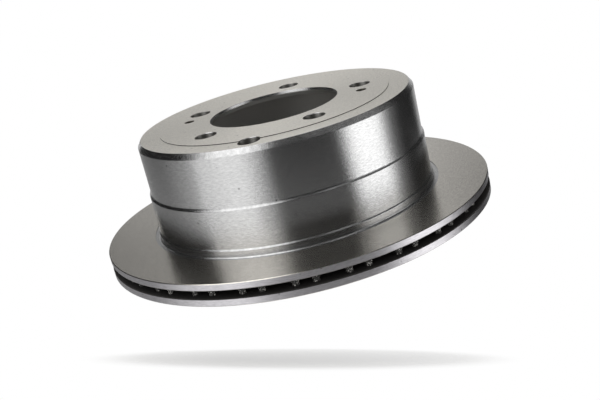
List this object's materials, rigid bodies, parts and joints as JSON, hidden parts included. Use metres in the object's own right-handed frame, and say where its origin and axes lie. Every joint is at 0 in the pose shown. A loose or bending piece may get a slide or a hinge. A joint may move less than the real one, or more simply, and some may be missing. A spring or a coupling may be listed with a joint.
{
  "type": "brake disc",
  "caption": "Ventilated rear brake disc with a deep hat, a parking brake drum inside it, wheel stud holes and a central hub bore.",
  "frame": {"origin": "centre of the inboard friction face, on the wheel axis, at the lowest point of the disc", "axes": "+Z along the wheel axis towards the wheel, through the mounting face; X and Y in the plane of the friction face"},
  "size_m": [0.329, 0.329, 0.1013],
  "materials": {
    "machined_iron": "grey cast iron, fine turned on the faces and the hat, as cast inside the vents"
  },
  "bodies": {
    "root": {"brake_disc": "machined_iron"}
  },
  "joints": []
}
